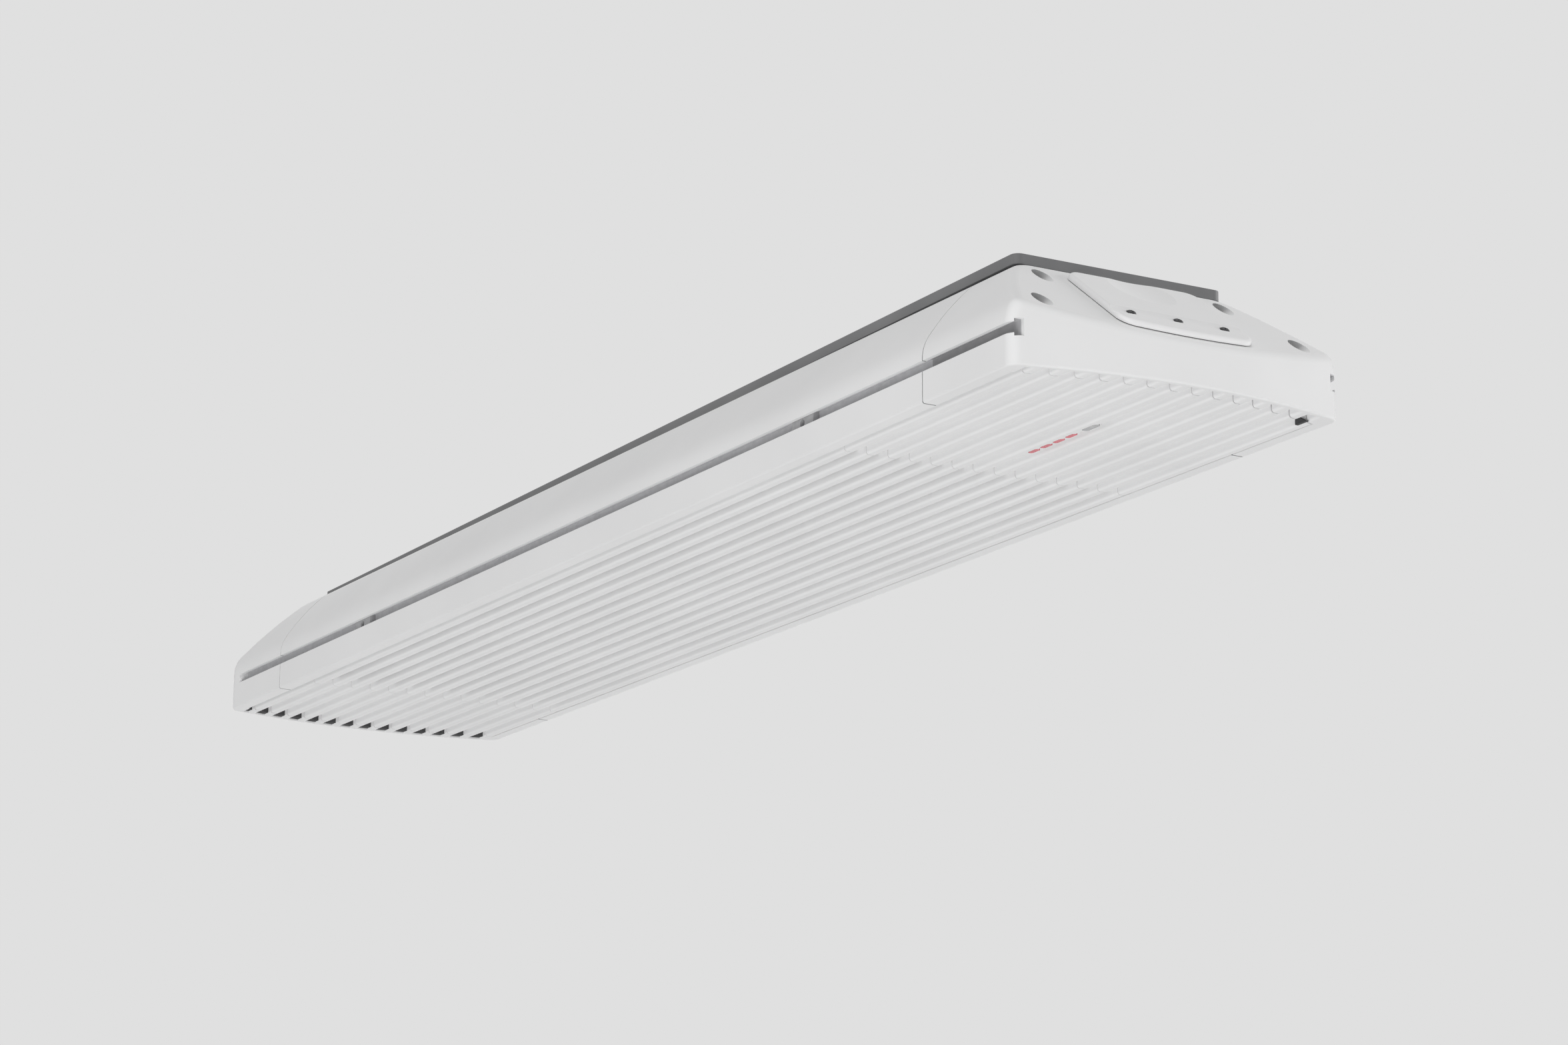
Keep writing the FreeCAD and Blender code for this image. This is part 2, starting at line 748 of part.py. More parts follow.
def chamber_ends(make):
    """The four copies of a lamp fitting: both lamps, at the near and the far wall."""
    shift = V(near_wall_x + far_wall_x, 0, 0)
    near = [make(side) for side in (-1, 1)]
    far = [mirror_x(shape) for shape in near]
    for shape in far:
        shape.translate(shift)
    return near + far


def heat_shield():
    side = lamp_pitch / 2 + shield_margin
    return box(far_wall_x, near_wall_x, -side, side, shield_bottom, mat_bottom)


def insulation_mat():
    return box(far_wall_x, near_wall_x, -mat_half_width, mat_half_width,
               mat_bottom, mat_bottom + mat_thickness)


def thermal_cutout():
    x0 = near_wall_x + bulkhead_thickness
    return rod_x(x0, x0 + cutout_height, 0, cutout_z, cutout_radius)


# Control end

def standoff_places():
    xs = (board_x + standoff_inset, board_x + board_length - standoff_inset)
    y = board_half_width - standoff_inset
    return [(x, side * y) for x in xs for side in (-1, 1)]


def control_board():
    return box(board_x, board_x + board_length, -board_half_width, board_half_width, board_bottom, board_top)


def board_standoffs():
    return [rod_z(x, y, panel_thickness, board_bottom, standoff_radius) for x, y in standoff_places()]


def block(x, y, size):
    """Box of a given size on the board, centred on x and y."""
    length, width, height = size
    return box(x - length / 2, x + length / 2, y - width / 2, y + width / 2, board_top, board_top + height)


def board_components():
    row_x = board_x + board_length / 4
    step = board_half_width / 2
    relays = [block(row_x, side * step, relay_size) for side in (-1, 1)]
    transformer = block(board_x + board_length / 2, -step, transformer_size)
    capacitors = [rod_z(board_x + board_length / 2, step + side * capacitor_pitch / 2, board_top,
                        board_top + capacitor_height, capacitor_radius) for side in (-1, 1)]
    return relays + [transformer] + capacitors


def terminal_block():
    x = board_x + board_length - terminal_size[0]
    body = block(x, 0, terminal_size)
    top = board_top + terminal_size[2]
    pitch = terminal_size[1] / terminal_poles
    holes = [rod_z(x, (pole - (terminal_poles - 1) / 2) * pitch, top - terminal_hole_depth, top,
                   terminal_hole_radius) for pole in range(terminal_poles)]
    return body.cut(holes)


# Indicators

def lens_places():
    return [(half_length - lens_inset - k * lens_pitch, lens_length, lens_width) for k in range(lens_count)]


def indicator_places():
    return [(half_length - window_inset, window_length, window_width)] + lens_places()


def lens(x, length, width):
    """Flush light guide through the panel, with a flange on the panel's back."""
    guide = rounded_bar(x, indicator_y, length, width, 0, panel_thickness)
    flange = rounded_bar(x, indicator_y, length + 2 * lens_flange, width + 2 * lens_flange,
                         panel_thickness, panel_thickness + lens_flange)
    return guide.fuse(flange).removeSplitter()


def indicator_board():
    places = indicator_places()
    x0 = min(x - length / 2 for x, length, _ in places) - indicator_board_margin
    x1 = max(x + length / 2 for x, length, _ in places) + indicator_board_margin
    low = panel_thickness + lens_flange
    return box(x0, x1, indicator_y - indicator_board_width / 2, indicator_y + indicator_board_width / 2,
               low, low + board_thickness)


# Ceiling plate and slot nuts

def bolt_places():
    return [(sx * bolt_spacing_x / 2, sy * bolt_spacing_y / 2) for sx in (-1, 1) for sy in (-1, 1)]


def plate_screw_places():
    return [(sx * plate_screw_spacing_x, sy * plate_screw_spacing_y / 2)
            for sx in (-1, 0, 1) for sy in (-1, 1)]


def plate_screw_head(x, y, extra):
    return Part.makeCone(plate_screw_radius + extra, plate_screw_head_radius + extra,
                         plate_screw_head_height, V(x, y, plate_screw_seat()))


def plate_screw_seat():
    return overall_height - plate_screw_sink - plate_screw_head_height


def ceiling_plate():
    """Flat plate on the roof, a little narrower towards the far end."""
    plate_end_x = roof_end_x - plate_setback
    far_half_width = plate_half_width - plate_taper
    points = [V(plate_end_x, -plate_half_width, body_height), V(plate_end_x, plate_half_width, body_height),
              V(-plate_end_x, far_half_width, body_height), V(-plate_end_x, -far_half_width, body_height)]
    plate = Part.Face(Part.makePolygon(points + points[:1])).extrude(V(0, 0, plate_thickness))
    corners = [edge for edge in plate.Edges if edge.BoundBox.ZLength > plate_thickness / 2]
    plate = plate.makeFillet(plate_corner, corners)
    cuts = [rod_z(x, y, 0, reach, bolt_hole_radius) for x, y in bolt_places()]
    for x, y in plate_screw_places():
        cuts.append(rod_z(x, y, 0, reach, plate_screw_radius + seat_gap))
        cuts.append(plate_screw_head(x, y, seat_gap))
        cuts.append(rod_z(x, y, overall_height - plate_screw_sink, reach, plate_screw_head_radius + seat_gap))
    cuts.append(rod_z(grommet_x, 0, 0, reach, plate_inlet_radius))
    return plate.cut(cuts)


def weld_nuts():
    nuts = []
    for x, y in bolt_places():
        nut = rod_z(x, y, body_height - weld_nut_height, body_height, weld_nut_radius)
        nuts.append(nut.cut(rod_z(x, y, 0, reach, weld_nut_bore_radius)))
    return nuts


def plate_screws():
    screws = []
    for x, y in plate_screw_places():
        shank = rod_z(x, y, overall_height - plate_screw_length, plate_screw_seat(), plate_screw_radius)
        screws.append(shank.fuse(plate_screw_head(x, y, 0)).removeSplitter())
    return screws


def cable_grommet():
    """Rubber ring in the roof, with a flange above and below the wall."""
    under = body_height - shell_wall
    neck = rod_z(grommet_x, 0, under, body_height, grommet_hole_radius - seat_gap)
    flanges = [rod_z(grommet_x, 0, low, low + grommet_flange_thickness, grommet_hole_radius + grommet_flange)
               for low in (under - grommet_flange_thickness, body_height)]
    return neck.fuse(flanges).cut(rod_z(grommet_x, 0, 0, reach, grommet_bore_radius))


def slot_nut(end, side):
    """Plain nut that slides in the chamber of a flank's slot."""
    x = end * (half_length - nut_inset)
    outer = half_width - slot_lip - fit
    inner = half_width - slot_lip - chamber_depth + fit
    half_height = chamber_height / 2 - fit
    body = box(x - nut_length / 2, x + nut_length / 2, inner, outer,
               slot_center_z - half_height, slot_center_z + half_height)
    hole = Part.makeCylinder(nut_bore_radius, half_width, V(x, 0, slot_center_z), V(0, 1, 0))
    nut = body.cut(hole)
    return nut if side > 0 else mirror_y(nut)


# Assembly, one file for each node
save("housing_shell", housing_shell())
save("near_end_cap", end_cap(reach))
save("far_end_cap", mirror_x(end_cap(half_length - slot_end_inset)))
save("near_cap_gasket", cap_gasket())
save("far_cap_gasket", mirror_x(cap_gasket()))
save("near_cap_cover", cap_cover())
save("far_cap_cover", mirror_x(cap_cover()))
save("near_cover_gasket", cover_gasket())
save("far_cover_gasket", mirror_x(cover_gasket()))
save("drain_plug", drain_plug())
save("far_vent_plugs", *[mirror_x(plug) for plug in vent_plugs()])
save("cover_screws", *cover_screws(), *[mirror_x(screw) for screw in cover_screws()])
save("cap_screws", *cap_screws(), *[mirror_x(screw) for screw in cap_screws()])
save("near_front_panel", near_front_panel())
save("front_grille", front_grille())
save("far_front_panel", far_front_panel())
save("glass_seal", glass_seal())
save("front_glass", front_glass())
save("reflector", reflector())
save("near_bulkhead", bulkhead(near_wall_x))
save("far_bulkhead", bulkhead(far_wall_x - bulkhead_thickness))
for word, rail, strip in zip(("left", "right"), side_rails(), slot_strips()):
    save(word + "_rail", rail)
    save(word + "_slot_strip", strip)
for side, word in ((-1, "left"), (1, "right")):
    save("lamp_tube_" + word, lamp_tube(side))
    save("heating_element_" + word, heating_element(side))
    for end, place in ((1, "near"), (-1, "far")):
        save("slot_nut_%s_%s" % (word, place), slot_nut(end, side))
save("lamp_ends", *chamber_ends(lamp_end))
save("lamp_clips", *chamber_ends(lamp_clip))
save("heat_shield", heat_shield())
save("insulation_mat", insulation_mat())
save("thermal_cutout", thermal_cutout())
save("control_board", control_board())
save("board_standoffs", *board_standoffs())
save("board_components", *board_components())
save("terminal_block", terminal_block())
save("level_lenses", *[lens(*place) for place in lens_places()])
save("receiver_window", lens(*indicator_places()[0]))
save("indicator_board", indicator_board())
save("ceiling_plate", ceiling_plate())
save("weld_nuts", *weld_nuts())
save("plate_screws", *plate_screws())
save("cable_grommet", cable_grommet())
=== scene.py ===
import bmesh
import bpy
import json
import math
from mathutils import Matrix, Vector


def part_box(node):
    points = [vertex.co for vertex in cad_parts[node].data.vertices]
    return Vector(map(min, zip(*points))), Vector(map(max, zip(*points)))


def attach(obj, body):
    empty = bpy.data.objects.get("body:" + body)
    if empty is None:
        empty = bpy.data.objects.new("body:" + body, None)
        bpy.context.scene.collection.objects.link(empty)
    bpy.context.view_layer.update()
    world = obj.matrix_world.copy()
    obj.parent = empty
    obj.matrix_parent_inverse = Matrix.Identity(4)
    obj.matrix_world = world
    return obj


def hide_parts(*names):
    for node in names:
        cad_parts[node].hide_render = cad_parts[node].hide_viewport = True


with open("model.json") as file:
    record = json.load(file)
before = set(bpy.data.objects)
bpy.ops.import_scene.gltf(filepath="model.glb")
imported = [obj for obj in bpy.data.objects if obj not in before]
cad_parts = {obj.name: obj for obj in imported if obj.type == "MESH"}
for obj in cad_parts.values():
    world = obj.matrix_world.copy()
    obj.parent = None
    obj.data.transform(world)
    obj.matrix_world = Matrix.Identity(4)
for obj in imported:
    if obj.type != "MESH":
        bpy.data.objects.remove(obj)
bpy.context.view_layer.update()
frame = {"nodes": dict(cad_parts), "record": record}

nodes = frame["nodes"]
mm = 0.001


# Node helpers

class Finish:
    """A procedural finish: a principled shader and the node chains that feed it."""

    def __init__(self, name):
        self.material = bpy.data.materials.new(name)
        self.material.use_nodes = True
        self.tree = self.material.node_tree
        self.shader = self.tree.nodes["Principled BSDF"]
        self.place = self.add("ShaderNodeTexCoord").outputs["Object"]

    def add(self, kind, **settings):
        node = self.tree.nodes.new(kind)
        for key, value in settings.items():
            setattr(node, key, value)
        return node

    def join(self, source, target):
        self.tree.links.new(source, target)

    def set(self, **values):
        for key, value in values.items():
            self.shader.inputs[key.replace("_", " ")].default_value = value

    def stretched(self, scale):
        mapping = self.add("ShaderNodeMapping")
        mapping.inputs["Scale"].default_value = scale
        self.join(self.place, mapping.inputs["Vector"])
        return mapping.outputs["Vector"]

    def noise(self, scale, detail=4.0, roughness=0.5, place=None):
        node = self.add("ShaderNodeTexNoise")
        node.inputs["Scale"].default_value = scale
        node.inputs["Detail"].default_value = detail
        node.inputs["Roughness"].default_value = roughness
        self.join(place or self.place, node.inputs["Vector"])
        return node.outputs["Fac"]

    def cells(self, scale, place=None):
        node = self.add("ShaderNodeTexVoronoi")
        node.inputs["Scale"].default_value = scale
        self.join(place or self.place, node.inputs["Vector"])
        return node.outputs["Distance"]

    def tint(self, factor, low, high, start=0.3, end=0.7):
        ramp = self.add("ShaderNodeValToRGB")
        ramp.color_ramp.elements[0].position = start
        ramp.color_ramp.elements[0].color = (*low, 1)
        ramp.color_ramp.elements[1].position = end
        ramp.color_ramp.elements[1].color = (*high, 1)
        self.join(factor, ramp.inputs["Fac"])
        self.join(ramp.outputs["Color"], self.shader.inputs["Base Color"])
        return ramp.outputs["Color"]

    def gloss(self, factor, low, high):
        span = self.add("ShaderNodeMapRange")
        span.inputs["To Min"].default_value = low
        span.inputs["To Max"].default_value = high
        self.join(factor, span.inputs["Value"])
        self.join(span.outputs["Result"], self.shader.inputs["Roughness"])

    def relief(self, height, depth, strength=1.0):
        bump = self.add("ShaderNodeBump")
        bump.inputs["Strength"].default_value = strength
        bump.inputs["Distance"].default_value = depth
        self.join(height, bump.inputs["Height"])
        self.join(bump.outputs["Normal"], self.shader.inputs["Normal"])


# Finishes, named as in the record

def white_coat():
    """Satin white powder coat with a fine orange peel and faint clouding."""
    finish = Finish("satin_white_coat")
    finish.tint(finish.noise(14.0, 3.0), (0.800, 0.800, 0.802), (0.830, 0.830, 0.832))
    finish.gloss(finish.noise(60.0, 3.0), 0.50, 0.60)
    finish.relief(finish.noise(1100.0, 2.0), 0.02 * mm, 0.5)
    finish.set(IOR=1.46, Specular_IOR_Level=0.2)
    return finish.material


# Coat for the mounting plate on top: its dark grey is painted shadow, standing for the shadow band along
# the ceiling over the top edge.
def dark_plate():
    finish = Finish("dark_grey_coat")
    finish.tint(finish.noise(20.0, 3.0), (0.165, 0.166, 0.170), (0.210, 0.211, 0.215))
    finish.gloss(finish.noise(80.0, 3.0), 0.42, 0.55)
    finish.relief(finish.noise(1300.0, 2.0), 0.03 * mm, 0.6)
    return finish.material


# Rubber darkened to near black, so that the thin rubber edges in the cover gaps show as dark lines: partly
# rubber, partly painted shade.
def grey_rubber():
    finish = Finish("grey_rubber")
    finish.tint(finish.noise(90.0, 5.0), (0.075, 0.075, 0.078), (0.105, 0.105, 0.108))
    finish.gloss(finish.noise(200.0, 3.0), 0.6, 0.8)
    finish.relief(finish.noise(900.0, 3.0), 0.03 * mm)
    return finish.material


def black_rubber():
    """Foam rubber, open-celled and dull; its near black is also painted shade for the vent pockets that the
    foam sits in.
    """
    finish = Finish("black_foam_rubber")
    pores = finish.cells(2600.0)
    finish.tint(pores, (0.038, 0.038, 0.039), (0.056, 0.056, 0.058), 0.0, 0.6)
    finish.relief(pores, 0.06 * mm)
    finish.set(Roughness=0.9)
    return finish.material


def metal(name, low, high, rough_low, rough_high, grain):
    """Metal whose grain runs along the stretched axis."""
    finish = Finish(name)
    streaks = finish.noise(1.0, 4.0, 0.6, finish.stretched(grain))
    finish.tint(streaks, low, high)
    finish.gloss(streaks, rough_low, rough_high)
    finish.relief(streaks, 0.01 * mm, 0.4)
    finish.set(Metallic=1.0)
    return finish.material


# Blackened steel, kept darker than such steel is, so that the screws deep in the cap holes carry the shade
# inside the holes: partly painted shade.
def dark_steel():
    return metal("blackened_steel", (0.06, 0.06, 0.062), (0.09, 0.09, 0.093), 0.34, 0.5, (500, 500, 500))


def dull_zinc(name, low, high):
    """Passivated zinc, grey and dull, for what slides and lies in the flank slots; the tone of each copy is
    painted shade for the slot.
    """
    finish = Finish(name)
    spangle = finish.cells(260.0)
    finish.tint(spangle, (low, low, low * 1.02), (high, high, high * 1.02), 0.1, 0.9)
    finish.gloss(finish.noise(300.0, 3.0), 0.5, 0.65)
    finish.relief(finish.noise(900.0, 2.0), 0.01 * mm, 0.5)
    return finish.material


def bright_steel():
    return metal("zinc_plate", (0.52, 0.52, 0.53), (0.66, 0.66, 0.67), 0.25, 0.42, (40, 600, 600))


def mirror_sheet():
    return metal("polished_reflector", (0.84, 0.84, 0.85), (0.90, 0.90, 0.91), 0.38, 0.48, (6, 700, 700))


def mineral_felt():
    finish = Finish("mineral_felt")
    fibres = finish.noise(700.0, 6.0, 0.7)
    finish.tint(fibres, (0.66, 0.65, 0.61), (0.80, 0.79, 0.76))
    finish.relief(fibres, 0.3 * mm)
    finish.set(Roughness=0.92)
    return finish.material


def clear_glass():
    """Clear heat-proof glass, with a trace of waviness."""
    finish = Finish("clear_heatproof_glass")
    finish.tint(finish.noise(5.0, 2.0), (0.955, 0.972, 0.968), (0.975, 0.985, 0.982))
    finish.relief(finish.noise(18.0, 1.0), 0.02 * mm, 0.2)
    finish.set(Roughness=0.02, IOR=1.47, Transmission_Weight=1.0, Alpha=0.15)
    return finish.material


def carbon_strip():
    finish = Finish("carbon_strip")
    weave = finish.cells(900.0, finish.stretched((0.4, 1, 1)))
    finish.tint(weave, (0.018, 0.018, 0.019), (0.045, 0.045, 0.047), 0.0, 0.6)
    finish.relief(weave, 0.05 * mm)
    finish.set(Roughness=0.55)
    return finish.material


def ceramic():
    finish = Finish("glazed_ceramic")
    finish.tint(finish.noise(120.0, 4.0), (0.78, 0.75, 0.68), (0.85, 0.83, 0.77))
    finish.gloss(finish.noise(60.0, 2.0), 0.25, 0.4)
    finish.relief(finish.noise(400.0, 2.0), 0.03 * mm, 0.4)
    return finish.material


def black_plastic():
    finish = Finish("moulded_black")
    finish.tint(finish.noise(150.0, 3.0), (0.028, 0.028, 0.030), (0.042, 0.042, 0.045))
    finish.gloss(finish.noise(90.0, 2.0), 0.4, 0.55)
    finish.relief(finish.noise(1600.0, 2.0), 0.02 * mm, 0.6)
    return finish.material


def green_board():
    finish = Finish("lacquered_board")
    finish.tint(finish.noise(45.0, 5.0, 0.65), (0.018, 0.115, 0.050), (0.030, 0.165, 0.075), 0.42, 0.58)
    finish.gloss(finish.noise(120.0, 3.0), 0.28, 0.42)
    finish.relief(finish.noise(350.0, 3.0), 0.03 * mm)
    return finish.material


def red_lens():
    """Clear red light guide, unlit, deeper towards its middle."""
    finish = Finish("clear_red_guide")
    finish.tint(finish.noise(260.0, 2.0), (0.55, 0.030, 0.062), (0.66, 0.050, 0.090))
    finish.gloss(finish.noise(150.0, 2.0), 0.12, 0.2)
    finish.set(IOR=1.49, Subsurface_Weight=0.3, Subsurface_Scale=0.002)
    return finish.material


def smoked_lens():
    finish = Finish("smoked_window")
    finish.tint(finish.noise(220.0, 2.0), (0.34, 0.342, 0.348), (0.42, 0.422, 0.428))
    finish.gloss(finish.noise(150.0, 2.0), 0.12, 0.22)
    finish.set(IOR=1.49)
    return finish.material


finishes = {
    make.__name__: make()
    for make in (white_coat, dark_plate, grey_rubber, black_rubber, dark_steel, bright_steel, mirror_sheet,
                 mineral_felt, clear_glass, carbon_strip, ceramic, black_plastic, green_board, red_lens,
                 smoked_lens)
}
slot_of = {part["node"]: part["material_slot"] for part in frame["record"]["subparts"]}
# Three tones of the one zinc, as painted shade in the flank slots: the main liners lightest, the near cap
# liners and the nuts darker.
liner_painted_shade = dull_zinc("passivated_liner", 0.66, 0.73)
cap_liner_painted_shade = dull_zinc("passivated_cap_liner", 0.44, 0.50)
nut_painted_shade = dull_zinc("passivated_nut", 0.38, 0.45)
for name, node in nodes.items():
    node.data.materials.clear()
    node.data.materials.append(nut_painted_shade if name.startswith("slot_nut") else finishes[slot_of[name]])


# Meshes in millimetres over the front face, as the heater is drawn; the front is 70 mm below the ceiling

front_z = -70.0


def mesh_from(name, points, faces, smooth_angle=40.0):
    """Mesh in metres from points in millimetres, merged, with its faces turned outwards."""
    mesh = bpy.data.meshes.new(name)
    mesh.from_pydata([Vector(point) * mm for point in points], [], faces)
    work = bmesh.new()
    work.from_mesh(mesh)
    bmesh.ops.remove_doubles(work, verts=work.verts, dist=0.001 * mm)
    bmesh.ops.recalc_face_normals(work, faces=work.faces)
    work.to_mesh(mesh)
    work.free()
    for polygon in mesh.polygons:
        polygon.use_smooth = True
    mesh.set_sharp_from_angle(angle=math.radians(smooth_angle))
    return mesh


def put(name, mesh):
    piece = bpy.data.objects.new(name, mesh)
    bpy.context.scene.collection.objects.link(piece)
    return piece


class Tree:
    """Geometry Nodes tree with named inputs."""

    kinds = {float: "NodeSocketFloat", int: "NodeSocketInt", tuple: "NodeSocketVector",
             bpy.types.Object: "NodeSocketObject", bpy.types.Material: "NodeSocketMaterial"}

    def __init__(self, name, **values):
        self.group = bpy.data.node_groups.new(name, "GeometryNodeTree")
        self.values = values
        sockets = self.group.interface
        sockets.new_socket("Geometry", in_out="INPUT", socket_type="NodeSocketGeometry")
        sockets.new_socket("Geometry", in_out="OUTPUT", socket_type="NodeSocketGeometry")
        for key, value in values.items():
            kind = next(kind for base, kind in self.kinds.items() if isinstance(value, base))
            sockets.new_socket(key.replace("_", " "), in_out="INPUT", socket_type=kind)
        self.inputs = self.add("NodeGroupInput").outputs
        self.output = self.add("NodeGroupOutput").inputs["Geometry"]

    def add(self, kind, links=(), **settings):
        """Add a node; links pairs its input names with sockets or plain values."""
        node = self.group.nodes.new(kind)
        for key, value in settings.items():
            setattr(node, key, value)
        for key, value in dict(links).items():
            if isinstance(value, bpy.types.NodeSocket):
                self.group.links.new(value, node.inputs[key])
            else:
                node.inputs[key].default_value = value
        return node

    def finish(self, geometry):
        """Realize the instances, give them the finish and end the tree."""
        real = self.add("GeometryNodeRealizeInstances", {"Geometry": geometry})
        coated = self.add("GeometryNodeSetMaterial",
                          {"Geometry": real.outputs["Geometry"], "Material": self.inputs["Finish"]})
        self.group.links.new(coated.outputs["Geometry"], self.output)

    def grow(self, name, seed_mesh):
        """Run the tree on a mesh and keep the result as a plain piece."""
        holder = put(name + "_seed", seed_mesh)
        modifier = holder.modifiers.new("grow", "NODES")
        modifier.node_group = self.group
        for socket in self.group.interface.items_tree:
            key = socket.name.replace(" ", "_")
            if socket.in_out == "INPUT" and key in self.values:
                modifier[socket.identifier] = self.values[key]
        graph = bpy.context.evaluated_depsgraph_get()
        mesh = bpy.data.meshes.new_from_object(holder.evaluated_get(graph))
        bpy.data.objects.remove(holder)
        return put(name, mesh)


def seat(piece, body, slot, *replaced):
    """Ride a finished piece on its body, in place of the solids that it stands for."""
    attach(piece, body)
    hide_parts(*replaced)


# Screws: one turned head for each kind, set on points that carry the direction of the head

def hexagon(size):
    """Outline of a hexagon socket, as a radius for each direction."""
    return lambda turn: size / math.cos(turn % (math.pi / 3) - math.pi / 6)


def cross(arm, half_width):
    """Outline of a cross recess, as a radius for each direction."""
    def radius(turn):
        lean = (turn + math.pi / 4) % (math.pi / 2) - math.pi / 4
        return min(arm / math.cos(lean), half_width / max(abs(math.sin(lean)), 0.001))
    return radius


def turned(name, rings, count=48):
    """Turned piece from rings of (height, radius or outline), closed at both ends."""
    points = []
    for height, shape in rings:
        for step in range(count):
            turn = 2 * math.pi * step / count
            radius = shape(turn) if callable(shape) else shape
            points.append((radius * math.cos(turn), radius * math.sin(turn), height))
    faces = []
    for ring in range(len(rings) - 1):
        for step in range(count):
            low = ring * count + step
            side = ring * count + (step + 1) % count
            faces.append((low, side, side + count, low + count))
    faces.append(tuple(range(count)))
    faces.append(tuple(range(len(points) - count, len(points))))
    return mesh_from(name, points, faces, 30.0)


def socket_screw(radius, height, shank, length):
    """Pan head with a hexagon socket."""
    rounding = height / 3
    key = radius * 0.5
    return turned("socket_screw", [
        (-length, shank * 0.8), (shank * 0.4 - length, shank), (0, shank), (0, radius - 0.1), (0.1, radius),
        (height - rounding, radius), (height - 0.35 * rounding, radius - 0.25 * rounding),
        (height, radius - rounding), (height, hexagon(key * 1.08)), (height - 0.1, hexagon(key)),
        (height * 0.35, hexagon(key)), (height * 0.25, hexagon(key * 0.4))])


def cross_screw(radius, height, shank, length):
    """Low round head with a cross recess."""
    return turned("cross_screw", [
        (-length, shank * 0.7), (shank * 0.5 - length, shank), (0, shank), (0, radius),
        (height * 0.35, radius), (height * 0.75, radius * 0.9), (height, radius * 0.68),
        (height, cross(radius * 0.58, radius * 0.17)), (height * 0.3, cross(radius * 0.42, radius * 0.1))])


def sunk_screw(radius, height, shank, length):
    """Countersunk head with a cross recess."""
    return turned("sunk_screw", [
        (-length, shank * 0.7), (shank * 0.5 - length, shank), (0, shank), (height - 0.15, radius - 0.1),
        (height, radius - 0.15), (height, cross(radius * 0.55, radius * 0.13)),
        (height * 0.2, cross(radius * 0.4, radius * 0.08))])


def add_screws(name, head, places, finish, turn_seed):
    """Screws at (place, direction) pairs, each turned about its own axis by chance."""
    template = put(name + "_head", head)
    tree = Tree(name, Head=template, Finish=finishes[finish], Turn_seed=turn_seed)
    spot = mesh_from(name + "_spots", [place for place, _ in places], [])
    facing = spot.attributes.new("facing", "FLOAT_VECTOR", "POINT")
    for entry, (_, direction) in zip(facing.data, places):
        entry.vector = direction
    toward = tree.add("GeometryNodeInputNamedAttribute", {"Name": "facing"}, data_type="FLOAT_VECTOR")
    upright = tree.add("FunctionNodeAlignRotationToVector",
                       {"Vector": toward.outputs["Attribute"]}, axis="Z")
    chance = tree.add("FunctionNodeRandomValue", {"Seed": tree.inputs["Turn seed"]}, data_type="FLOAT")
    angle = tree.add("ShaderNodeMath", operation="MULTIPLY")
    tree.group.links.new(chance.outputs[1], angle.inputs[0])
    angle.inputs[1].default_value = 2 * math.pi
    spin = tree.add("FunctionNodeAxisAngleToRotation", {"Axis": (0, 0, 1), "Angle": angle.outputs["Value"]})
    turn = tree.add("FunctionNodeRotateRotation",
                    {"Rotation": upright.outputs["Rotation"], "Rotate By": spin.outputs["Rotation"]},
                    rotation_space="LOCAL")
    shape = tree.add("GeometryNodeObjectInfo", {"Object": tree.inputs["Head"], "As Instance": True})
    spread = tree.add("GeometryNodeInstanceOnPoints",
                      {"Points": tree.inputs["Geometry"], "Instance": shape.outputs["Geometry"],
                       "Rotation": turn.outputs["Rotation"]})
    tree.finish(spread.outputs["Instances"])
    piece = tree.grow(name + "_turned", spot)
    bpy.data.objects.remove(template)
    seat(piece, "housing", finish, name)


def cap_screw_places():
    seat_x = 374.7
    spots = ((71.5, 34.3), (51.0, 57.0))
    return [((end * seat_x, side * y, front_z + z), (end, 0, 0))
            for end in (-1, 1) for side in (-1, 1) for y, z in spots]


def cover_screw_places():
    """Seats on the sloped covers, some way up from the crease and a little over the slope."""
    slope = math.radians(36.9)
    crease_x = 450.0
    crease_z = 21.2
    up_slope = 18.0
    over_slope = 1.9
    spacing = 26.0
    x = crease_x - up_slope * math.cos(slope) + over_slope * math.sin(slope)
    z = crease_z + up_slope * math.sin(slope) + over_slope * math.cos(slope)
    return [((end * x, y, front_z + z), (end * math.sin(slope), 0, math.cos(slope)))
            for end in (-1, 1) for y in (-spacing, 0.0, spacing)]


def plate_screw_places():
    seat_z = -2.6
    row_x = (-300.0, 0.0, 300.0)
    row_y = (-25.0, 25.0)
    return [((x, y, seat_z), (0, 0, 1)) for x in row_x for y in row_y]


add_screws("cap_screws", socket_screw(3.1, 3.0, 1.9, 23.8), cap_screw_places(), "dark_steel", 3)
add_screws("cover_screws", cross_screw(2.3, 1.2, 1.5, 8.8), cover_screw_places(), "dark_steel", 5)
add_screws("plate_screws", sunk_screw(4.6, 2.4, 2.4, 8.2), plate_screw_places(), "bright_steel", 8)


# Slatted front: one slat repeated across the front, between two plain edge bars

grille_x = (-338.1, 273.1)
slot_margin = 8.0
rib_pitch = 12.15
valley_width = 7.6
valley_depth = 4.6
front_thickness = 6.1
slot_width = 2.0
web_overlap = 0.1
rib_edge = 1.5
lip_steps = 8
least_step = 0.2
front_half = 82.8
first_wall = -6.5 * rib_pitch


def bar(points, faces, outline):
    """Add a closed bar with a (y, z) outline along the whole grille."""
    base = len(points)
    count = len(outline)
    for x in grille_x:
        points += [(x, y, front_z + z) for y, z in outline]
    faces.append(tuple(range(base, base + count)))
    faces.append(tuple(range(base + count, base + 2 * count)))
    for step in range(count):
        low = base + step
        side = base + (step + 1) % count
        faces.append((low, side, side + count, low + count))


def valley_z(wall, y):
    """Height of the sloped side of the valley in front of a wall."""
    return valley_depth * (y - wall + valley_width) / valley_width


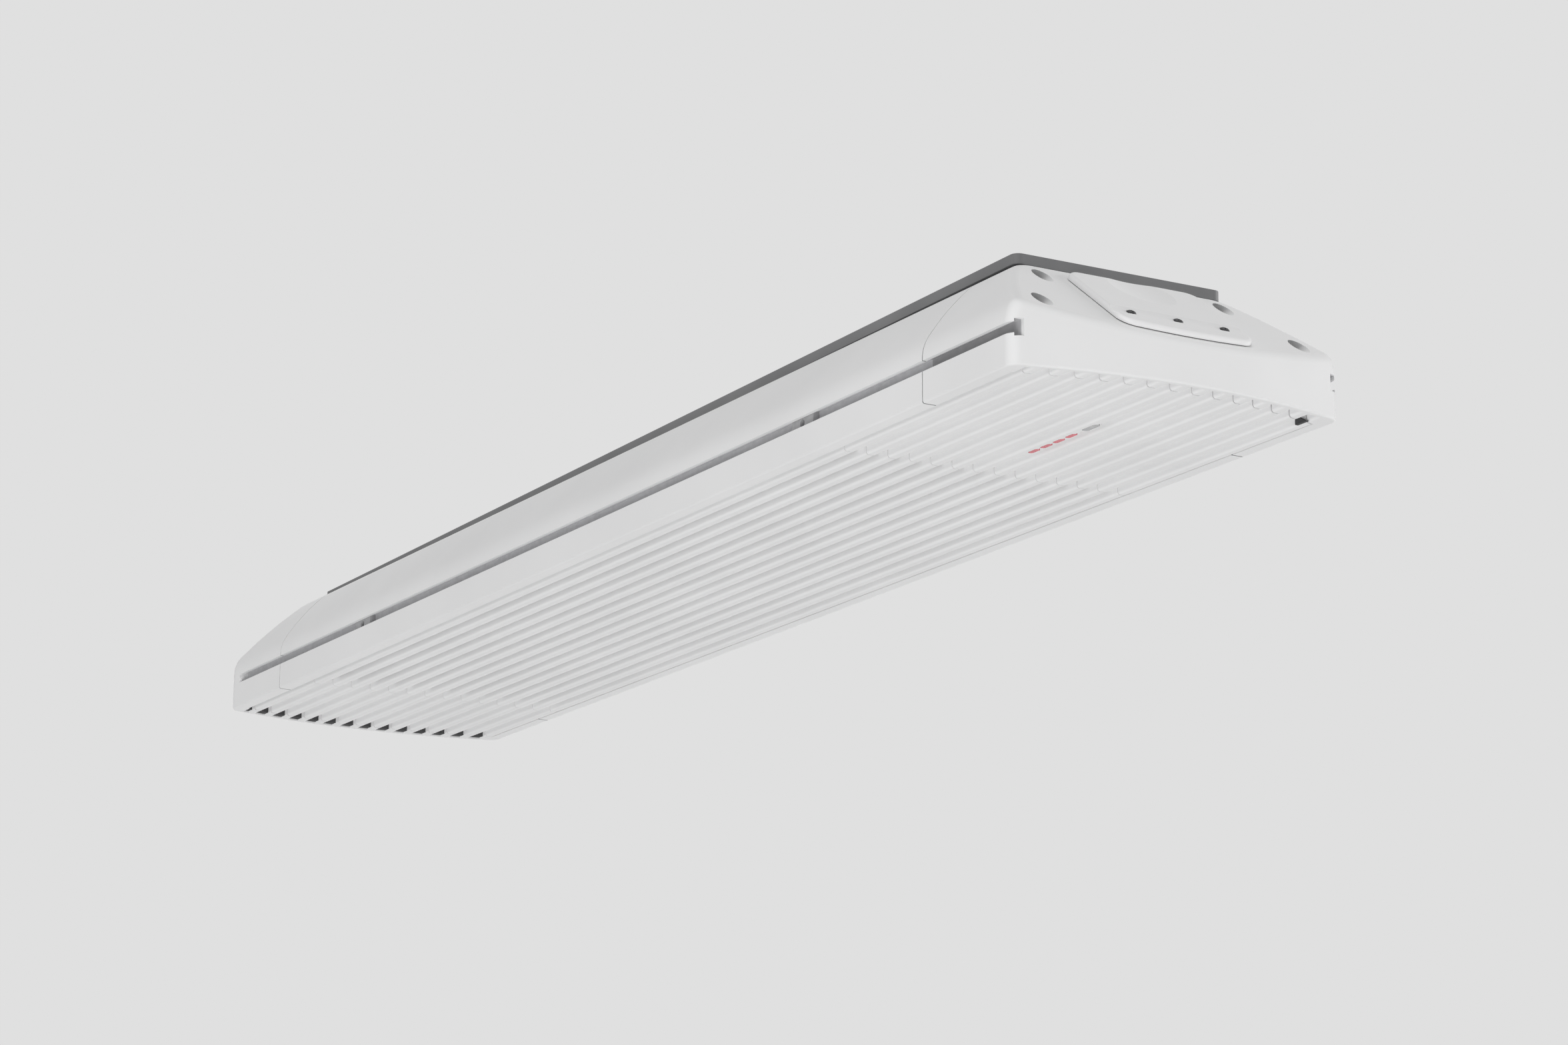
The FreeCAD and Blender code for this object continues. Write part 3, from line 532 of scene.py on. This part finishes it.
def slat_outline(wall, end):
    """Outline of a slat from its upright wall, over its rounded lip and land and down its sloped side."""
    lip = []
    for step in range(lip_steps + 1):
        turn = math.radians(90 * step / lip_steps)
        lip.append((wall + rib_edge * (1 - math.cos(turn)), rib_edge * (1 - math.sin(turn))))
    land_end = min(wall + rib_pitch - valley_width, end - least_step)
    side_z = max(valley_z(wall + rib_pitch, end), least_step)
    return ([(wall, front_thickness), (wall, valley_depth)] + lip
            + [(land_end, 0), (end, side_z), (end, front_thickness)])


def slot_ends(points, faces, wall, count=16):
    """Add the two webs that close a slot, each with a half-round end, let into the slats beside it."""
    radius = slot_width / 2
    for x_end, toward in ((grille_x[0], 1), (grille_x[1], -1)):
        center = x_end + toward * (slot_margin + radius)
        rows = []
        for step in range(count + 1):
            turn = math.pi * (step / count - 0.5)
            y = radius * math.sin(turn) - radius
            rows.append((y, valley_z(0, y), center - toward * radius * math.cos(turn)))
        rows.insert(0, (rows[0][0] - web_overlap, *rows[0][1:]))
        rows.append((rows[-1][0] + web_overlap, *rows[-1][1:]))
        base = len(points)
        for y, slope_z, round_x in rows:
            for x in (x_end, round_x):
                points += [(x, wall + y, front_z + z) for z in (slope_z, front_thickness - web_overlap)]
        for step in range(len(rows) - 1):
            a = base + 4 * step
            b = a + 4
            faces += [(a, b, b + 2, a + 2), (a + 1, a + 3, b + 3, b + 1), (a, a + 1, b + 1, b),
                      (a + 2, b + 2, b + 3, a + 3)]
        last = len(points) - 4
        faces += [(base, base + 2, base + 3, base + 1), (last, last + 1, last + 3, last + 2)]


def add_slatted_front(count=12):
    points, faces = [], []
    bar(points, faces, slat_outline(0, rib_pitch - slot_width))
    slot_ends(points, faces, 0)
    slat = put("slat", mesh_from("slat", points, faces))
    points, faces = [], []
    left = slat_outline(first_wall, first_wall + rib_pitch - slot_width)
    left_z = valley_z(first_wall, -front_half)
    bar(points, faces, [(-front_half, front_thickness), (-front_half, left_z)] + left[1:])
    last_wall = -first_wall
    bar(points, faces, slat_outline(last_wall, front_half))
    slot_ends(points, faces, last_wall)
    edges = put("edge_bars", mesh_from("edge_bars", points, faces))
    tree = Tree("slatted_front", Slat=slat, Edge_bars=edges, Slats=count, Pitch=rib_pitch * mm,
                First_wall=(first_wall + rib_pitch) * mm, Finish=finishes["white_coat"])
    start = tree.add("ShaderNodeCombineXYZ", {"Y": tree.inputs["First wall"]})
    step = tree.add("ShaderNodeCombineXYZ", {"Y": tree.inputs["Pitch"]})
    row = tree.add("GeometryNodeMeshLine",
                   {"Count": tree.inputs["Slats"], "Start Location": start.outputs["Vector"],
                    "Offset": step.outputs["Vector"]}, mode="OFFSET")
    shape = tree.add("GeometryNodeObjectInfo", {"Object": tree.inputs["Slat"], "As Instance": True})
    spread = tree.add("GeometryNodeInstanceOnPoints",
                      {"Points": row.outputs["Mesh"], "Instance": shape.outputs["Geometry"]})
    sides = tree.add("GeometryNodeObjectInfo", {"Object": tree.inputs["Edge bars"]})
    both = tree.add("GeometryNodeJoinGeometry")
    for geometry in (spread.outputs["Instances"], sides.outputs["Geometry"]):
        tree.group.links.new(geometry, both.inputs["Geometry"])
    tree.finish(both.outputs["Geometry"])
    piece = tree.grow("slatted_front", bpy.data.meshes.new("slatted_front_seed"))
    for template in (slat, edges):
        bpy.data.objects.remove(template)
    seat(piece, "housing", "white_coat", "front_grille")


add_slatted_front()


# Slot liners: thin grey channel along the back of each flank slot, its grey painted shade of the slot,
# darker through the near cap

def add_slot_liner(name, side, span, finish):
    """Channel with three thin walls, open towards the flank."""
    back = 85.0
    lip = 88.9
    low = 13.55
    high = 21.75
    sheet = 0.15
    outline = [(lip, low), (back, low), (back, high), (lip, high), (lip, high - sheet),
               (back + sheet, high - sheet), (back + sheet, low + sheet), (lip, low + sheet)]
    count = len(outline)
    points = [(x, side * y, front_z + z) for x in span for y, z in outline]
    faces = [tuple(range(count)), tuple(range(count, 2 * count))]
    faces += [(step, (step + 1) % count, (step + 1) % count + count, step + count) for step in range(count)]
    liner = put(name, mesh_from(name, points, faces))
    liner.data.materials.append(finish)
    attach(liner, "housing")


main_span = (-437.8, 362.3)
near_cap_span = (362.5, 435.7)
for side, word in ((-1, "left"), (1, "right")):
    add_slot_liner("slot_liner_" + word, side, main_span, liner_painted_shade)
    add_slot_liner("cap_liner_" + word, side, near_cap_span, cap_liner_painted_shade)


# Heating strips: flat carbon ribbon, twisted along the lamp

def add_heating_strip(side):
    low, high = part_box("heating_element_" + side)
    middle = (low + high) / 2
    inset = 2 * mm
    points_along = 240
    tree = Tree("heating_strip_" + side, Start=(low.x + inset, middle.y, middle.z),
                End=(high.x - inset, middle.y, middle.z), Twists=9.0, Width=6 * mm, Thickness=0.5 * mm,
                Finish=finishes["carbon_strip"])
    line = tree.add("GeometryNodeCurvePrimitiveLine",
                    {"Start": tree.inputs["Start"], "End": tree.inputs["End"]})
    fine = tree.add("GeometryNodeResampleCurve", {"Curve": line.outputs["Curve"], "Count": points_along})
    along = tree.add("GeometryNodeSplineParameter")
    turns = tree.add("ShaderNodeMath", operation="MULTIPLY")
    tree.group.links.new(along.outputs["Factor"], turns.inputs[0])
    tree.group.links.new(tree.inputs["Twists"], turns.inputs[1])
    angle = tree.add("ShaderNodeMath", operation="MULTIPLY")
    tree.group.links.new(turns.outputs["Value"], angle.inputs[0])
    angle.inputs[1].default_value = math.pi
    tilted = tree.add("GeometryNodeSetCurveTilt",
                      {"Curve": fine.outputs["Curve"], "Tilt": angle.outputs["Value"]})
    ribbon = tree.add("GeometryNodeCurvePrimitiveQuadrilateral",
                      {"Width": tree.inputs["Width"], "Height": tree.inputs["Thickness"]})
    solid = tree.add("GeometryNodeCurveToMesh",
                     {"Curve": tilted.outputs["Curve"], "Profile Curve": ribbon.outputs["Curve"],
                      "Fill Caps": True})
    tree.finish(solid.outputs["Mesh"])
    piece = tree.grow("heating_strip_" + side, bpy.data.meshes.new("heating_strip_seed"))
    seat(piece, "housing", "carbon_strip", "heating_element_" + side)


for side in ("left", "right"):
    add_heating_strip(side)


# Camera, light and floor

def add_camera():
    """Camera below the near left corner, looking up along the front."""
    right = Vector((0.50502443, 0.8630982, 0.00343886))
    up = Vector((0.21273812, -0.12833879, 0.96864423))
    back = right.cross(up)
    camera = bpy.data.cameras.new("camera")
    camera.sensor_width = 36.0
    camera.lens = 98.1335
    camera.clip_end = 100.0
    holder = bpy.data.objects.new("camera", camera)
    turn = Matrix((right, up, back)).transposed().to_4x4()
    holder.matrix_world = Matrix.Translation((1.95552, -1.09448, -0.60925)) @ turn
    bpy.context.scene.collection.objects.link(holder)
    bpy.context.scene.camera = holder


def seen(tree):
    """Factor that is 1 for what the camera, gloss and glass see."""
    path = tree.nodes.new("ShaderNodeLightPath")
    factor = path.outputs["Is Camera Ray"]
    for kind in ("Is Glossy Ray", "Is Transmission Ray"):
        either = tree.nodes.new("ShaderNodeMath")
        either.operation = "MAXIMUM"
        tree.links.new(factor, either.inputs[0])
        tree.links.new(path.outputs[kind], either.inputs[1])
        factor = either.outputs["Value"]
    return factor


def add_world(light, backdrop):
    """Even soft light, with a plain pale backdrop."""
    world = bpy.data.worlds.new("studio")
    world.use_nodes = True
    tree = world.node_tree
    glow = tree.nodes["Background"]
    glow.inputs["Color"].default_value = (light, light, light, 1)
    plain = tree.nodes.new("ShaderNodeBackground")
    plain.inputs["Color"].default_value = (backdrop, backdrop, backdrop, 1)
    mix = tree.nodes.new("ShaderNodeMixShader")
    tree.links.new(seen(tree), mix.inputs["Fac"])
    tree.links.new(glow.outputs["Background"], mix.inputs[1])
    tree.links.new(plain.outputs["Background"], mix.inputs[2])
    tree.links.new(mix.outputs["Shader"], tree.nodes["World Output"].inputs["Surface"])
    bpy.context.scene.world = world


def add_softbox(name, place, size, power):
    """Square soft light, aimed at the middle of the heater."""
    lamp = bpy.data.lights.new(name, "AREA")
    lamp.shape = "RECTANGLE"
    lamp.size = size
    lamp.size_y = size
    lamp.energy = power
    holder = bpy.data.objects.new(name, lamp)
    target = Vector((0, 0, -0.05))
    aim = (target - Vector(place)).to_track_quat("-Z", "Y")
    holder.matrix_world = Matrix.Translation(place) @ aim.to_matrix().to_4x4()
    holder.visible_camera = False
    bpy.context.scene.collection.objects.link(holder)


def add_floor(glow_level, share):
    """Pale floor far below, which glows enough to meet the backdrop without an edge."""
    floor = Finish("pale_floor")
    floor.tint(floor.noise(0.8, 3.0), (0.73, 0.73, 0.73), (0.76, 0.76, 0.76))
    floor.set(Roughness=0.9)
    glow = floor.add("ShaderNodeEmission")
    glow.inputs["Color"].default_value = (glow_level, glow_level, glow_level, 1)
    level = floor.add("ShaderNodeMath", operation="MULTIPLY")
    level.inputs[1].default_value = share
    floor.join(seen(floor.tree), level.inputs[0])
    mix = floor.add("ShaderNodeMixShader")
    floor.join(level.outputs["Value"], mix.inputs["Fac"])
    floor.join(floor.shader.outputs["BSDF"], mix.inputs[1])
    floor.join(glow.outputs["Emission"], mix.inputs[2])
    floor.join(mix.outputs["Shader"], floor.tree.nodes["Material Output"].inputs["Surface"])
    mesh = bpy.data.meshes.new("floor")
    half = 30.0
    low = -6.5
    mesh.from_pydata([(-half, -half, low), (half, -half, low), (half, half, low), (-half, half, low)],
                     [], [(0, 1, 2, 3)])
    mesh.materials.append(floor.material)
    slab = bpy.data.objects.new("floor", mesh)
    bpy.context.scene.collection.objects.link(slab)


add_camera()
backdrop = 0.745
add_world(light=0.35, backdrop=backdrop)
add_softbox("front_softbox", (3.35, -3.4, -3.9), 3.3, 222.0)
add_softbox("top_softbox", (2.0, -2.8, 4.85), 3.6, 140.0)
add_softbox("side_softbox", (2.0, 5.6, 0.3), 3.6, 210.0)
add_softbox("back_softbox", (-5.5, 2.2, 0.6), 3.6, 110.0)
add_floor(glow_level=0.825, share=0.85)
bpy.context.scene.view_settings.view_transform = "Standard"
